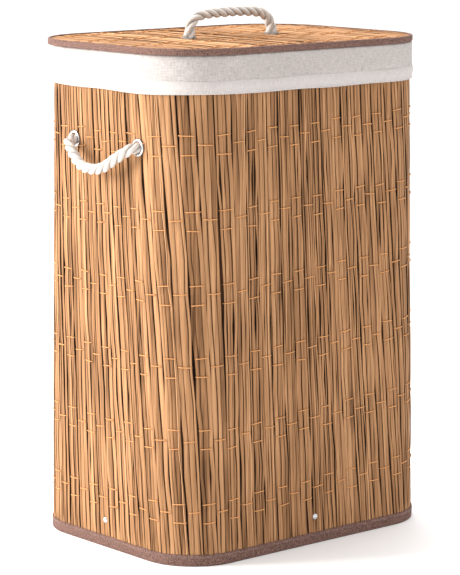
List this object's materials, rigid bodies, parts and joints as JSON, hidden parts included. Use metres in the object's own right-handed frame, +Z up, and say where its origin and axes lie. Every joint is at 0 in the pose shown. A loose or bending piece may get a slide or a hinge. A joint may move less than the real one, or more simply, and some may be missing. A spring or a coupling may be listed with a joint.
{
  "type": "laundry hamper with lid",
  "caption": "Tall rounded rectangular basket of stitched bamboo strips with a removable linen liner, a flat lift-off lid and twisted rope handles.",
  "frame": {"origin": "on the floor, at the middle of the basket's plan", "axes": "+Z up, X along the wide face from the left handle to the right one, the front face is -Y"},
  "size_m": [0.4554, 0.308, 0.6336],
  "materials": {
    "bamboo": "matte split bamboo",
    "binding_tape": "woven tape",
    "linen": "woven linen",
    "lining_cloth": "plain woven",
    "webbing": "woven webbing",
    "cotton_rope": "three-strand twisted cotton",
    "fibreboard": "hardboard",
    "steel_wire": "drawn wire",
    "bright_metal": "nickel plated"
  },
  "bodies": {
    "basket": {"bamboo_wall": "bamboo", "wall_seam_tape": "binding_tape", "bottom_binding": "binding_tape", "top_binding": "binding_tape", "top_frame": "steel_wire", "top_frame_sleeve": "lining_cloth", "base_frame": "steel_wire", "base_frame_sleeve": "lining_cloth", "base_board": "fibreboard", "base_loop_left": "webbing", "base_loop_right": "webbing", "base_loop_front": "webbing", "base_loop_back": "webbing", "base_rivets": "bright_metal", "base_rivet_washers": "bright_metal", "left_eyelets": "bright_metal", "right_eyelets": "bright_metal", "left_eyelet_washers": "bright_metal", "right_eyelet_washers": "bright_metal", "left_handle_front_knot": "cotton_rope", "left_handle_back_knot": "cotton_rope", "right_handle_front_knot": "cotton_rope", "right_handle_back_knot": "cotton_rope"},
    "liner": {"liner_walls": "linen", "liner_base": "linen", "liner_cuff": "linen", "liner_cuff_hem": "linen"},
    "lid": {"lid_lining": "lining_cloth", "lid_board": "fibreboard", "lid_mat": "bamboo", "lid_binding": "binding_tape", "lid_handle_left_knot": "cotton_rope", "lid_handle_right_knot": "cotton_rope"},
    "lid_rope": {"lid_handle": "cotton_rope"},
    "left_rope": {"left_handle": "cotton_rope"},
    "right_rope": {"right_handle": "cotton_rope"}
  },
  "joints": [
    {"name": "liner_lift", "type": "slide", "parent": "basket", "child": "liner", "axis": [0, 0, 1], "range_m": [0, 0.6]},
    {"name": "lid_lift", "type": "slide", "parent": "liner", "child": "lid", "axis": [0, 0, 1], "range_m": [0, 0.25]},
    {"name": "lid_handle_tip", "type": "hinge", "parent": "lid", "child": "lid_rope", "pos_m": [0, 0, 0.6052], "axis": [1, 0, 0], "range_deg": [-55, 55], "stiffness_Nm_per_rad": 0.03},
    {"name": "left_handle_swing", "type": "hinge", "parent": "basket", "child": "left_rope", "pos_m": [-0.2076, -0.006, 0.484], "axis": [0, 1, 0], "range_deg": [0, 105]},
    {"name": "right_handle_swing", "type": "hinge", "parent": "basket", "child": "right_rope", "pos_m": [0.2076, -0.006, 0.484], "axis": [0, -1, 0], "range_deg": [0, 105]}
  ]
}
